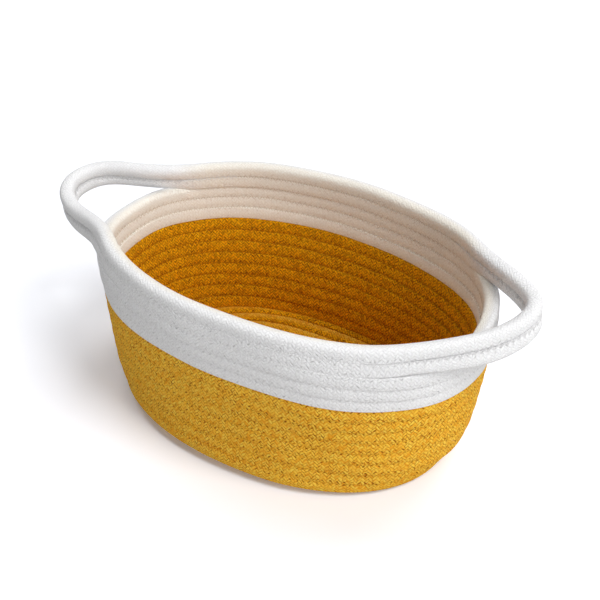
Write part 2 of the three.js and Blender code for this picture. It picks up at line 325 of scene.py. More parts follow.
def topRing(row):  # one whole round of a top row, with its place (0 to 4) and how far it is on the wall
    height = wall["rowPitch"] * (row + 1)
    shares = {
        "rightFront": rootShare(rightHandle, "front", height),
        "leftFront": rootShare(leftHandle, "front", height),
        "leftBack": rootShare(leftHandle, "back", height),
        "rightBack": rootShare(rightHandle, "back", height),
    }
    frontTurns = np.linspace(shares["rightFront"], shares["leftFront"], topRow["wallPoints"])
    backTurns = np.linspace(shares["leftBack"], shares["rightBack"], topRow["wallPoints"])
    parts = [
        courseAt(row + frontTurns)[0],
        handleCourse(leftHandle, row, [("front", shares["leftFront"]), ("back", shares["leftBack"])]),
        courseAt(row + backTurns)[0],
        handleCourse(rightHandle, row, [("back", shares["rightBack"]), ("front", shares["rightFront"])]),
    ]
    turns = [frontTurns, np.full(len(parts[1]), np.nan), backTurns, np.full(len(parts[3]), np.nan)]
    place = [np.linspace(k, k + 1, len(part)) for k, part in enumerate(parts)]
    return evenRing(*(np.concatenate([part[:-1] for part in series]) for series in (parts, place, turns)))


def averaged(values, reach):  # with their neighbours round the ring, the nearest counting most
    steps = np.arange(-topRow["averagedOver"], topRow["averagedOver"] + 1)
    weights = np.exp(-0.5 * (steps / reach) ** 2)
    weights /= weights.sum()
    return sum(weight * np.roll(values, -k, axis=0) for k, weight in zip(steps, weights))


def evenRing(centre, place, turns):
    closed = np.concatenate([centre, centre[:1]])
    lengths = lengthsOf(closed)
    count = int(round(lengths[-1] / topRow["step"]))
    at = np.linspace(0, lengths[-1], count + 1)[:-1]
    even = np.stack([np.interp(at, lengths, closed[:, k]) for k in range(3)], -1)
    evenPlace = np.interp(at, lengths, np.concatenate([place, [4]]))
    inPair = evenPlace % 2  # 0 to 1 along the wall, 1 to 2 round a handle
    onWall = (inPair < 1 + topRow["rootOnWall"]) | (inPair > 2 - topRow["rootOnWall"])
    known = ~np.isnan(turns)
    shares = np.interp(at, lengths[:-1][known], turns[known])
    shares = np.where(evenPlace > 3.5, turns[0], shares)  # the last half handle lies before the first run
    return {
        "centre": averaged(even, topRow["soften"]), "place": evenPlace, "shares": shares,
        "onWall": averaged(onWall.astype(float), topRow["onWallSoften"]),
    }


# A rope's skin: rings of a rounded square section that follow its course
def quadrants(values, c, s):  # outer top, outer bottom, inner top and inner bottom
    outerTop, outerBottom, innerTop, innerBottom = [np.asarray(value, float)[:, None] for value in values]
    return np.where(c >= 0, np.where(s >= 0, outerTop, outerBottom), np.where(s >= 0, innerTop, innerBottom))


def ringPoints(strand):
    centre, sides = strand["centre"], strand["sides"]
    along = strand.get("tangent", unit(np.gradient(centre, axis=0)))
    outward = unit(strand["outward"] - along * np.sum(strand["outward"] * along, 1, keepdims=True))
    up = np.cross(outward, along)
    up *= np.sign(up[:, 2:3])
    angles = -math.pi / 2 + fullTurn * np.arange(sides) / sides
    c, s = np.cos(angles)[None, :], np.sin(angles)[None, :]
    c, s = np.where(np.abs(c) < 1e-9, 0, c), np.where(np.abs(s) < 1e-9, 0, s)
    power = 2 / quadrants(strand["squares"], c, s)
    across = strand["wide"][:, None] * np.sign(c) * np.abs(c) ** power
    tall = np.where(s > 0, strand["tallTop"][:, None], strand["tallBottom"][:, None])
    high = tall * np.sign(s) * np.abs(s) ** power
    points = centre[:, None, :] + outward[:, None, :] * across[..., None] + up[:, None, :] * high[..., None]
    return points, across, high


def pointMesh(name, points):
    mesh = bpy.data.meshes.new(name)
    mesh.vertices.add(len(points))
    shifted = points + np.array([*wall["shift"], 0])
    mesh.vertices.foreach_set("co", (shifted * mm).astype(np.float32).ravel())
    return mesh


def faceMesh(name, points, faces):
    mesh = pointMesh(name, points)
    sizes = np.array([len(face) for face in faces])
    corners = np.concatenate([np.asarray(face) for face in faces])
    mesh.loops.add(len(corners))
    mesh.loops.foreach_set("vertex_index", corners.astype(np.int32))
    mesh.polygons.add(len(sizes))
    starts = np.concatenate([[0], np.cumsum(sizes)[:-1]])
    mesh.polygons.foreach_set("loop_start", starts.astype(np.int32))
    mesh.polygons.foreach_set("use_smooth", sizes == 4)  # the cut ends stay flat
    mesh.update(calc_edges=True)
    return mesh


def setAttribute(mesh, name, values):  # one number or one vector for each point
    isVector = values.ndim == 2
    attribute = mesh.attributes.new(name, "FLOAT_VECTOR" if isVector else "FLOAT", "POINT")
    attribute.data.foreach_set("vector" if isVector else "value", values.astype(np.float32).ravel())


def putInScene(name, data):
    made = bpy.data.objects.new(name, data)
    bpy.context.scene.collection.objects.link(made)
    return made


def seamPlaces(strand, key, across, high):  # (stitches passed, mm from the seam, how far inside)
    phase, present = strand[key]
    sign = 1 if key == "above" else -1
    if strand["seams"] == "beside":
        far = strand["wide"][:, None] - sign * across
    else:
        tall = strand["tallTop"] if key == "above" else strand["tallBottom"]
        far = tall[:, None] - rope["overlap"] - sign * high
    far = np.where(present[:, None] > 0.5, far, 50)  # 50 mm away: no seam here
    # share of the face that looks into the basket; the material paints the inner light and shade by it
    inside = smoothStep(0.5 - across / strand["wide"][:, None] * 0.9) * strand["paintedInnerLightShare"]
    return np.stack([np.repeat(phase[:, None], far.shape[1], 1), far, inside], -1).reshape(-1, 3)


def ropeSkin(strands):
    allPoints, allFaces, allUv, above, below = [], [], [], [], []
    base = 0
    for strand in strands:
        sides = strand["sides"]
        points, across, high = ringPoints(strand)
        n = len(points)
        ring = np.arange(sides)
        firstCorner = np.arange(n - 1)[:, None] * sides + ring
        nextCorner = np.arange(n - 1)[:, None] * sides + (ring + 1) % sides
        quads = np.stack([firstCorner, nextCorner, nextCorner + sides, firstCorner + sides], -1)
        quads = quads.reshape(-1, 4)
        flat = points.reshape(-1, 3)
        middle = n // 2 * sides + sides // 4
        a, b, d = flat[middle], flat[middle + 1], flat[middle + sides]
        flip = np.dot(np.cross(b - a, d - a), flat[middle] - strand["centre"][n // 2]) < 0
        girth = np.linalg.norm(np.roll(points, -1, axis=1) - points, axis=2).mean(0)
        v = np.concatenate([[0], np.cumsum(girth)]) / girth.sum()
        u = strand["along"]
        i, k = np.divmod(np.arange(len(quads)), sides)
        corners = ((i, k), (i, k + 1), (i + 1, k + 1), (i + 1, k))
        uv = np.stack([np.stack([u[onward], v[around]], -1) for onward, around in corners], 1)
        firstCap, lastCap = ring[::-1].copy(), (n - 1) * sides + ring
        if flip:
            quads, uv = quads[:, ::-1], uv[:, ::-1]
            firstCap, lastCap = firstCap[::-1], lastCap[::-1]
        allFaces += list(quads + base) + [firstCap + base, lastCap + base]
        capUv = np.stack([np.full(sides, u[0]), v[:-1]], -1)
        allUv += [uv.reshape(-1, 2), capUv, capUv]
        allPoints.append(flat)
        above.append(seamPlaces(strand, "above", across, high))
        below.append(seamPlaces(strand, "below", across, high))
        base += len(flat)
    joined = [np.concatenate(part) for part in (allPoints, allUv, above, below)]
    return joined[0], allFaces, *joined[1:]


def makeRope(name, strands, material):
    points, faces, uv, above, below = ropeSkin(strands)
    mesh = faceMesh(name, points, faces)
    layer = mesh.uv_layers.new(name="alongRope")
    layer.data.foreach_set("uv", uv.astype(np.float32).ravel())
    setAttribute(mesh, "seamAbove", above)
    setAttribute(mesh, "seamBelow", below)
    mesh.materials.append(material)
    print(name, len(mesh.polygons) * 2, "triangles")
    return putInScene(name, mesh)


def evenSamples(start, end, lengthAt, turnAt, step):
    first, last = float(lengthAt(start)), float(lengthAt(end))
    count = int((last - first) / step) + 1
    return turnAt(np.linspace(first, last, count))


# Materials
def nodeMaker(tree):
    def add(kind, *values, output=0, **settings):
        node = tree.nodes.new(kind)
        for key, value in settings.items():
            setattr(node, key, value)
        for i, value in enumerate(values):
            if isinstance(value, bpy.types.NodeSocket):
                tree.links.new(value, node.inputs[i])
            elif value is not None:
                node.inputs[i].default_value = value
        return node.outputs[output]

    def calc(operation, a, b=None, c=None):
        return add("ShaderNodeMath", a, b, c, operation=operation)

    return add, calc


def addSocket(tree, name, kind, start=None, way="INPUT"):
    socket = tree.interface.new_socket(name, in_out=way, socket_type="NodeSocket" + kind)
    if start is not None:
        socket.default_value = start


# Braid: two sets of yarns that cross two over, two under
braid = {
    "yarnRound": 0.6, "floatRound": 0.5, "plyRound": 0.5,  # the lower, the fuller the yarn's section
    "plyDepth": 0.35, "floatDepth": 0.75,
}


def braidTree():  # the vector is (mm along the rope, share of the way around it)
    tree = bpy.data.node_groups.new("braidedYarn", "ShaderNodeTree")
    addSocket(tree, "Vector", "Vector")
    for name, start in (("yarns", 16), ("lay", 3.0), ("plies", 2)):
        addSocket(tree, name, "Float", start)
    for name in ("height", "yarn", "strand", "hue"):
        addSocket(tree, name, "Float", way="OUTPUT")
    add, calc = nodeMaker(tree)

    def arch(share, power):  # up from 0 and down again
        return calc("POWER", calc("MAXIMUM", calc("SINE", calc("MULTIPLY", share, math.pi)), 0), power)

    given = tree.nodes.new("NodeGroupInput").outputs
    split = add("ShaderNodeSeparateXYZ", given["Vector"]).node.outputs
    along = calc("DIVIDE", split[0], given["lay"])
    around = calc("MULTIPLY", split[1], given["yarns"])
    a, b = calc("ADD", along, around), calc("SUBTRACT", along, around)
    wholeA, wholeB = calc("FLOOR", a), calc("FLOOR", b)
    onTop = calc("LESS_THAN", calc("FLOORED_MODULO", calc("ADD", wholeA, wholeB), 4), 1.5)
    heights, yarns, strands = [], [], []
    for own, whole, run, seed in (
        (a, wholeA, calc("ADD", wholeA, b), 0.3), (b, wholeB, calc("ADD", calc("ADD", a, wholeB), 2), 7.3),
    ):
        part = calc("FRACT", own)
        alongFloat = arch(calc("MULTIPLY", calc("FLOORED_MODULO", run, 4), 0.5), braid["floatRound"])
        ply = calc("MULTIPLY", part, given["plies"])
        acrossPly = arch(calc("FRACT", ply), braid["plyRound"])
        body = calc("MULTIPLY_ADD", acrossPly, braid["plyDepth"], 1 - braid["plyDepth"])
        body = calc("MULTIPLY", arch(part, braid["yarnRound"]), body)
        rise = calc("MULTIPLY_ADD", alongFloat, braid["floatDepth"], 1 - braid["floatDepth"])
        heights.append(calc("MULTIPLY", body, rise))
        floatNumber = calc("FLOOR", calc("MULTIPLY", run, 0.25))
        plyNumber = calc("MULTIPLY_ADD", whole, 4, calc("FLOOR", ply))
        yarns.append(add("ShaderNodeCombineXYZ", whole, floatNumber, seed))
        strands.append(add("ShaderNodeCombineXYZ", plyNumber, floatNumber, seed))

    def shown(pair):
        return add("ShaderNodeMix", onTop, *[None] * 3, pair[1], pair[0], data_type="VECTOR", output=1)

    height = add("ShaderNodeMix", onTop, None, heights[1], heights[0])
    yarnRandom = add("ShaderNodeTexWhiteNoise", shown(yarns), noise_dimensions="3D")
    strandRandom = add("ShaderNodeTexWhiteNoise", shown(strands), noise_dimensions="3D")
    hue = add("ShaderNodeSeparateColor", strandRandom.node.outputs["Color"], output=1)
    result = tree.nodes.new("NodeGroupOutput")
    for name, value in (("height", height), ("yarn", yarnRandom), ("strand", strandRandom), ("hue", hue)):
        tree.links.new(value, result.inputs[name])
    return tree


braidedYarn = braidTree()

# Marks of the needle beside each seam, in mm: slanted holes painted dark as the shade in them, and the
# painted shade of the groove between two rows
needle = {
    "firstPlace": 0.35, "placeSpread": 0.3,  # shares of a zigzag
    "reachSpread": 1.4, "leaningBack": 0.35, "slimness": 0.16,
    "holeCore": 0.2, "holeEdge": 0.95, "grooveEdge": 0.6,
}


def seamMarks(tree, attributeName, offset):  # painted shade of the holes and of the groove, and how far inside the basket the face is
    add, calc = nodeMaker(tree)
    place = add("ShaderNodeAttribute", attribute_name=attributeName, output="Vector")
    phase, far, inside = add("ShaderNodeSeparateXYZ", place).node.outputs
    counted = calc("ADD", phase, offset)
    number = add("ShaderNodeCombineXYZ", calc("FLOOR", counted), offset, 0.0)
    random = add("ShaderNodeTexWhiteNoise", number, noise_dimensions="3D", output=1)
    channels = add("ShaderNodeSeparateColor", random).node.outputs
    middle = calc("MULTIPLY_ADD", channels[0], needle["placeSpread"], needle["firstPlace"])
    along = calc("MULTIPLY", calc("SUBTRACT", calc("FRACT", counted), middle), stitch["pitch"])
    nearest = stitch["reach"] - needle["reachSpread"] / 2
    rise = calc("SUBTRACT", far, calc("MULTIPLY_ADD", channels[1], needle["reachSpread"], nearest))
    slant = calc("SIGN", calc("SUBTRACT", random.node.outputs["Value"], needle["leaningBack"]))
    rise = calc("MULTIPLY", rise, slant)
    lengthwise, crosswise = calc("ADD", along, rise), calc("SUBTRACT", along, rise)
    lengthwise = calc("MULTIPLY", lengthwise, calc("MULTIPLY", lengthwise, needle["slimness"]))
    away = calc("SQRT", calc("ADD", lengthwise, calc("MULTIPLY", crosswise, crosswise)))

    def fading(distance, core, edge):
        ends = (core, edge, 1.0, 0.0)
        return add("ShaderNodeMapRange", distance, *ends, interpolation_type="SMOOTHSTEP")

    hole = fading(away, needle["holeCore"], needle["holeEdge"])
    hole = calc("MULTIPLY", hole, calc("POWER", channels[2], 0.6))
    return hole, fading(far, 0.0, needle["grooveEdge"]), inside


def newMaterial(name):
    material = bpy.data.materials.new(name)
    material.use_nodes = True
    return material, material.node_tree, material.node_tree.nodes["Principled BSDF"].inputs


def addBump(tree, inputs, height, strength, depth):
    bump = tree.nodes.new("ShaderNodeBump")
    bump.inputs["Strength"].default_value = strength
    bump.inputs["Distance"].default_value = depth
    tree.links.new(height, bump.inputs["Height"])
    tree.links.new(bump.outputs[0], inputs["Normal"])


grain = {  # noise scales and depths, in the metres of Object coordinates
    "wander": 330.0, "fuzz": 1700.0, "patches": 70.0, "patchSpread": 0.12, "cottonBump": 0.0006,
    "twist": 2200.0, "threadBump": 0.0002,
}


def cottonMaterial(name, look):
    material, tree, inputs = newMaterial(name)
    add, calc = nodeMaker(tree)

    def blend(share, first, second):
        return add("ShaderNodeMix", share, *[None] * 5, first, second, data_type="RGBA", output=2)

    def spread(value, size):  # a factor around 1
        return calc("MULTIPLY_ADD", value, size, 1 - size / 2)

    uv = add("ShaderNodeUVMap", uv_map="alongRope")
    objectPlace = add("ShaderNodeTexCoord", output="Object")
    wander = add("ShaderNodeTexNoise", objectPlace, None, grain["wander"], 2.0, 0.6, output=1)
    wander = add("ShaderNodeVectorMath", wander, (0.5, 0.5, 0.5), operation="SUBTRACT")
    wander = add("ShaderNodeVectorMath", wander, (*look["wander"], 0.0), operation="MULTIPLY")
    weave = tree.nodes.new("ShaderNodeGroup")
    weave.node_tree = braidedYarn
    tree.links.new(add("ShaderNodeVectorMath", uv, wander, operation="ADD"), weave.inputs["Vector"])
    for key in ("yarns", "lay", "plies"):
        weave.inputs[key].default_value = look[key]
    height, yarn, strand, hue = (weave.outputs[key] for key in ("height", "yarn", "strand", "hue"))
    fuzz = add("ShaderNodeTexNoise", objectPlace, None, grain["fuzz"], 3.0, 0.65)
    patches = add("ShaderNodeTexNoise", objectPlace, None, grain["patches"], 3.0, 0.6)

    holeUp, grooveUp, inside = seamMarks(tree, "seamAbove", 0.5)
    holeDown, grooveDown, _ = seamMarks(tree, "seamBelow", 0.0)
    outside = calc("SUBTRACT", 1.0, inside)
    hole = calc("MULTIPLY", calc("MAXIMUM", holeUp, holeDown), calc("MULTIPLY_ADD", outside, 0.2, 0.8))
    # the grooves between rows get painted shade, with its own strength on each face and uneven along the row
    grooveShade = calc("MULTIPLY_ADD", inside, look["innerGrooveShade"] - look["outerGrooveShade"], look["outerGrooveShade"])
    groove = calc("MULTIPLY", calc("MAXIMUM", grooveUp, grooveDown), grooveShade)
    groove = calc("MULTIPLY", groove, add("ShaderNodeMapRange", patches, 0.35, 0.6, 0.4, 1.0))

    # each ply of yarn has a tone of its own at random, the low parts of the braid are painted darker as
    # shade, and here and there one sees down between them into gaps painted as shade
    tone = calc("MULTIPLY_ADD", height, look["relief"], 1 - look["relief"])
    tone = calc("MULTIPLY", tone, spread(strand, look["strandSpread"]))
    tone = calc("MULTIPLY", tone, spread(yarn, look["yarnSpread"]))
    tone = calc("MULTIPLY", tone, spread(patches, grain["patchSpread"]))
    tone = calc("MULTIPLY", tone, spread(fuzz, look["fuzzSpread"]))
    yarnColour = blend(hue, look["base"], look["otherBase"])
    # inside the basket the yarn is tinted with painted light: the white warmer, as if lit by light bounced
    # off the mustard, and the mustard darker, as if in shade
    tinted = add("ShaderNodeVectorMath", yarnColour, look["paintedInnerLight"][:3], operation="MULTIPLY")
    # the low parts of the braid go towards the shade colour as painted shade, mixed with tone that differs at
    # random
    colour = blend(tone, blend(inside, look["shade"], look["innerShade"]), blend(inside, yarnColour, tinted))
    gap = add("ShaderNodeMapRange", height, 0.15, 0.6, 1.0, 0.0, interpolation_type="SMOOTHSTEP")
    gap = calc("MULTIPLY", gap, add("ShaderNodeMapRange", yarn, 0.35, 0.95, 0.1, 1.0))
    # painted shade: the needle holes, the grooves between rows and the gaps between yarns are darkened
    # towards the deep colour, which is warmer inside
    paintedShade = calc("MULTIPLY_ADD", hole, look["holeShade"], groove)
    paintedShade = calc("MINIMUM", calc("MULTIPLY_ADD", gap, look["gapShade"], paintedShade), 1.0)
    colour = blend(paintedShade, colour, blend(inside, look["hollowShade"], look["innerHollowShade"]))
    tree.links.new(colour, inputs["Base Color"])

    relief = calc("MULTIPLY_ADD", height, 0.75, calc("MULTIPLY", fuzz, 0.5))
    relief = calc("MULTIPLY_ADD", strand, 0.12, relief)
    relief = calc("SUBTRACT", relief, calc("MULTIPLY", hole, 0.8))
    addBump(tree, inputs, relief, look["bump"], grain["cottonBump"])
    inputs["Roughness"].default_value = 0.95
    inputs["Specular IOR Level"].default_value = 0.1
    inputs["Sheen Weight"].default_value = look["sheen"]
    inputs["Sheen Roughness"].default_value = 0.5
    return material


def threadMaterial(name, base, shade, paintedInnerLight):
    material, tree, inputs = newMaterial(name)
    add = nodeMaker(tree)[0]
    objectPlace = add("ShaderNodeTexCoord", output="Object")
    twist = add("ShaderNodeTexNoise", objectPlace, None, grain["twist"], 2.0, 0.5)
    colour = add("ShaderNodeMix", twist, *[None] * 5, shade, base, data_type="RGBA", output=2)
    inside = add("ShaderNodeAttribute", attribute_name="inside", output="Fac")
    # the threads inside the basket are tinted with painted light: the mustard darker as if in shade, the
    # white warmer as if lit by bounced light
    tinted = add("ShaderNodeVectorMath", colour, paintedInnerLight, operation="MULTIPLY")
    colour = add("ShaderNodeMix", inside, *[None] * 5, colour, tinted, data_type="RGBA", output=2)
    tree.links.new(colour, inputs["Base Color"])
    addBump(tree, inputs, twist, 0.5, grain["threadBump"])
    inputs["Roughness"].default_value = 0.8
    inputs["Specular IOR Level"].default_value = 0.1
    return material


mustardCotton = cottonMaterial("mustardCotton", {
    "base": (1.0, 0.68, 0.085, 1), "otherBase": (1.0, 0.56, 0.045, 1), "shade": (0.8, 0.24, 0.0, 1),
    # the inner colours are painted light, the mustard inside darker as if in shade, and the deep colours
    # paint the shade in holes, grooves and gaps
    "hollowShade": (0.36, 0.07, 0.0, 1), "paintedInnerLight": (0.92, 0.69, 0.07, 1), "innerShade": (0.27, 0.08, 0.001, 1),
    "innerHollowShade": (0.1, 0.02, 0.001, 1),
    # yarns round the rope, mm that a yarn moves on in its own width, and how far the lines stray (mm, share)
    "yarns": 14, "lay": 2.3, "plies": 2, "wander": (1.8, 0.055),
    "relief": 0.55, "strandSpread": 0.9, "yarnSpread": 0.4, "fuzzSpread": 0.6, "gapShade": 1.0,
    "holeShade": 0.95, "outerGrooveShade": 0.35, "innerGrooveShade": 0.35, "bump": 1.0, "sheen": 0.0,
})
whiteLook = {
    "base": (0.96, 0.96, 0.96, 1), "otherBase": (0.94, 0.94, 0.95, 1), "shade": (0.80, 0.79, 0.80, 1),
    # inside, the white is painted warmer as light bounced off the mustard, and the deep colours paint the
    # shade in holes, grooves and gaps
    "hollowShade": (0.5, 0.49, 0.49, 1), "paintedInnerLight": (1.0, 0.96, 0.87, 1), "innerShade": (0.84, 0.77, 0.67, 1),
    "innerHollowShade": (0.6, 0.44, 0.32, 1),
    "yarns": 14, "lay": 2.3, "plies": 2, "wander": (2.6, 0.07),
    "relief": 0.5, "strandSpread": 0.4, "yarnSpread": 0.3, "fuzzSpread": 0.2, "gapShade": 0.25,
    "holeShade": 0.35, "outerGrooveShade": 0.05, "innerGrooveShade": 0.15, "bump": 0.9, "sheen": 0.1,
}
whiteCotton = cottonMaterial("whiteCotton", whiteLook)
mustardThread = threadMaterial(
    "mustardThread", base=(0.93, 0.5, 0.03, 1), shade=(0.6, 0.27, 0.012, 1), paintedInnerLight=(0.6, 0.34, 0.04),
)
whiteThread = threadMaterial(
    "whiteThread", base=(0.92, 0.92, 0.92, 1), shade=(0.7, 0.69, 0.69, 1), paintedInnerLight=(0.9, 0.78, 0.64),
)
print("materials made")


# Ropes of the wall and the floor
def rowSpans(turns):  # half the way to the rows above and below
    z = courseAt(turns)[0][:, 2]
    top = (courseAt(np.minimum(turns + 1, allRows))[0][:, 2] - z) / 2
    bottom = (z - courseAt(np.maximum(turns - 1, 0))[0][:, 2]) / 2
    top = np.where(turns > allRows - 1, halfTall, top)
    bottom = np.where(turns < 1, np.minimum(z, halfTall + 0.3), bottom)
    return top, bottom


swells = ((107.0, 0.012), (46.0, 0.01), (19.5, 0.006))  # of the sewn rope: mm long, share of its thickness


def lumps(along, seed, total=None):  # with a total, whole swells on a closed ring
    swell = np.ones(len(along))
    for k, (length, size) in enumerate(swells):
        if total:
            length = total / round(total / length)
        swell += size * np.sin(along / length * fullTurn + seed * (k + 1))
    return swell


freeEdge = {"from": 104, "over": 14, "squareness": 2.65, "footSquareness": 3.0}


def wallStrand(start, end):
    turns = evenSamples(start, end, lengthAtTurn, turnAtLength, rope["step"])
    centre, outward = courseAt(turns)
    along = lengthAtTurn(turns)
    n = len(turns)
    top, bottom = rowSpans(turns)
    outer, inner = np.full(n, rope["outerPress"]), np.full(n, rope["innerPress"])
    # the last row's top is free where the handles have left it, and the lowest edge is round
    beyond = smoothStep((np.abs(centre[:, 0]) - freeEdge["from"]) / freeEdge["over"]) * (turns > whiteEnd - 1)
    outerTop = outer + (freeEdge["squareness"] - outer) * beyond
    innerTop = inner + (freeEdge["squareness"] - inner) * beyond
    outerBottom = outer + (freeEdge["footSquareness"] - outer) * smoothStep(1 - turns)
    return {
        "centre": centre, "outward": outward, "along": along, "sides": rope["sides"], "seams": "over",
        "wide": halfThick * lumps(along, 1.0), "paintedInnerLightShare": 1,
        "tallTop": top + rope["overlap"], "tallBottom": bottom + rope["overlap"] * (turns >= 1),
        "squares": (outerTop, outerBottom, innerTop, inner),
        "above": (along / stitch["pitch"], 1 - (beyond > 0.5)),
        "below": (lengthAtTurn(turns - 1) / stitch["pitch"], (turns >= 1).astype(float)),
    }


mustardWall = makeRope("mustardWallRope", [wallStrand(0, wall["mustardRows"])], mustardCotton)

# The white rope's end is thinned and sewn down on the end wall, below the right handle.
tail = {"turn": 0.075, "thin": 0.3, "taper": 1.3}
whiteStrand = wallStrand(wall["mustardRows"], whiteEnd + tail["turn"])
tailShare = np.clip((turnAtLength(whiteStrand["along"]) - whiteEnd) / tail["turn"], 0, 1)
thinning = 1 - (1 - tail["thin"]) * tailShare ** tail["taper"]
whiteStrand["centre"][:, 2] -= whiteStrand["tallBottom"] * (1 - thinning)
for key in ("wide", "tallBottom", "tallTop"):
    whiteStrand[key] = whiteStrand[key] * thinning
whiteWall = makeRope("whiteWallRope", [whiteStrand], whiteCotton)

floorSamples = np.linspace(floorStart, floorTurns, floorCoil["samples"])
floorLengths = lengthsOf(floorAt(floorSamples)[0])


def floorLength(turns):
    return np.interp(turns, floorSamples, floorLengths)


def floorTurn(length):
    return np.interp(length, floorLengths, floorSamples)


turns = evenSamples(floorStart, floorTurns, floorLength, floorTurn, rope["step"])
centre, outward = floorAt(turns)
along = floorLength(turns)
ahead = np.arange(round(floorCoil["pushedEnd"] / rope["step"]), 0, -1) * rope["step"]
backwards = unit(centre[:1] - centre[1:2])
centre = np.concatenate([centre[:1] + backwards * ahead[:, None], centre])
outward = np.concatenate([np.repeat(outward[:1], len(ahead), 0), outward])
along = np.concatenate([along[0] - ahead, along])
turns = np.concatenate([np.full(len(ahead), turns[0]), turns])
fromTip = np.clip((along - along[0]) / floorCoil["roundedEnd"] + 0.02, 0, 1)
rounding = np.sqrt(1 - (1 - fromTip) ** 2)
firstRun = smoothStep((floorStart + floorCoil["firstRunReach"] - turns) / floorCoil["swellOver"])
lastTurn = smoothStep((turns - floorTurns + floorCoil["lastTurnReach"]) / floorCoil["swellOver"])
swell = floorCoil["firstRunSwell"] * firstRun + floorCoil["lastTurnSwell"] * lastTurn
floorRope = makeRope("floorRope", [{
    "centre": centre, "outward": outward, "along": along, "sides": rope["sides"], "seams": "beside",
    "wide": (floorPitch / 2 + swell) * rounding,
    "tallTop": (wall["firstHeight"] + floorCoil["lastTurnRise"] * lastTurn) * rounding**0.5,
    "tallBottom": (wall["firstHeight"] - floorCoil["standOff"]) * rounding**0.5,
    "paintedInnerLightShare": 1, "squares": [np.full(len(turns), floorCoil["squareness"])] * 4,
    "above": (along / stitch["pitch"], (turns < floorTurns - 1).astype(float)),
    "below": (floorLength(turns - 1) / stitch["pitch"], (turns >= floorStart + 1).astype(float)),
}], mustardCotton)

# The two top rows, cut where the handles begin to bend
handleCut = 88.0
endRing = 0.02  # narrow end rings keep the flat cut out of the shading
rings = [topRing(whiteEnd), topRing(whiteEnd + 1)]
for ring in rings:
    closed = np.concatenate([ring["centre"], ring["centre"][:1]])
    ring["lengths"] = lengthsOf(closed)
    ring["outward"] = sideways(np.concatenate([closed[-3:-1], closed, closed[1:3]]))[2:-2]
ringCount = round(rings[0]["lengths"][-1] / stitch["pitch"])
ringPhase = rings[0]["lengths"] / rings[0]["lengths"][-1] * ringCount


def ringAt(ring, lengths):  # centre, outward, place, hold of the wall and share of the turn
    wrapped = np.asarray(lengths) % ring["lengths"][-1]

    def number(values):
        return np.interp(wrapped, ring["lengths"], values)

    def vector(values):
        return np.stack([number(values[:, k]) for k in range(3)], -1)

    def closed(key, last=None):
        return np.concatenate([ring[key], ring[key][:1] if last is None else [last]])

    numbers = (number(closed("place", 4.0)), number(closed("onWall")), number(closed("shares")))
    return vector(closed("centre")), unit(vector(ring["outward"])), *numbers


def samePlace(place, level):  # lengths on the other ring at the same place
    ring = rings[level]
    return np.interp(place, np.concatenate([ring["place"], [4.0]]), ring["lengths"])


def ringCrossings(ring, limit):  # lengths at which the ring passes x = limit
    x = np.concatenate([ring["centre"][:, 0], ring["centre"][:1, 0]]) - limit
    i = np.nonzero(x[:-1] * x[1:] <= 0)[0]
    return ring["lengths"][i] + (ring["lengths"][i + 1] - ring["lengths"][i]) * x[i] / (x[i] - x[i + 1])


def ringRuns(ring):  # the front run, the left handle, the back run and the right handle
    total = ring["lengths"][-1]
    left, right = sorted(ringCrossings(ring, -handleCut)), sorted(ringCrossings(ring, handleCut))
    lengths = sorted(list(left) + list(right))
    runs = {"rim": [], "left": [], "right": []}
    for start, end in zip(lengths, lengths[1:] + [lengths[0] + total]):
        x = ringAt(ring, [(start + end) / 2])[0][0, 0]
        runs["left" if x < -handleCut else "right" if x > handleCut else "rim"].append((start, end))
    return runs


def ringFrame(level, lengths):  # the section's outward side is square to the way to the other strand
    centre, outward, place, onWall, shares = ringAt(rings[level], lengths)
    other = ringAt(rings[1 - level], samePlace(place, 1 - level))[0]
    between = (other - centre) * (1 if level == 0 else -1)
    reach = 0.7  # mm before and after, for the rope's direction
    along = unit(ringAt(rings[level], lengths + reach)[0] - ringAt(rings[level], lengths - reach)[0])
    between = between - along * np.sum(between * along, 1, keepdims=True)
    squared = unit(np.cross(along, between))
    squared *= np.sign(np.sum(squared * outward, 1, keepdims=True))
    below = courseAt(whiteEnd - 1 + shares)[0][:, 2]
    toRow = np.clip((centre[:, 2] - below) / 2, halfTall * 0.8, halfTall * 1.25)
    return {
        "centre": centre, "outward": squared, "tangent": along, "place": place, "onWall": onWall,
        "shares": shares, "toOther": np.linalg.norm(between, axis=1) / 2,
        "toRow": toRow * onWall + halfTall * (1 - onWall),
    }


def pressed(squareness, press, onWall):  # squarer where the rows beside it press the rope
    return squareness + (rope[press] - squareness) * onWall


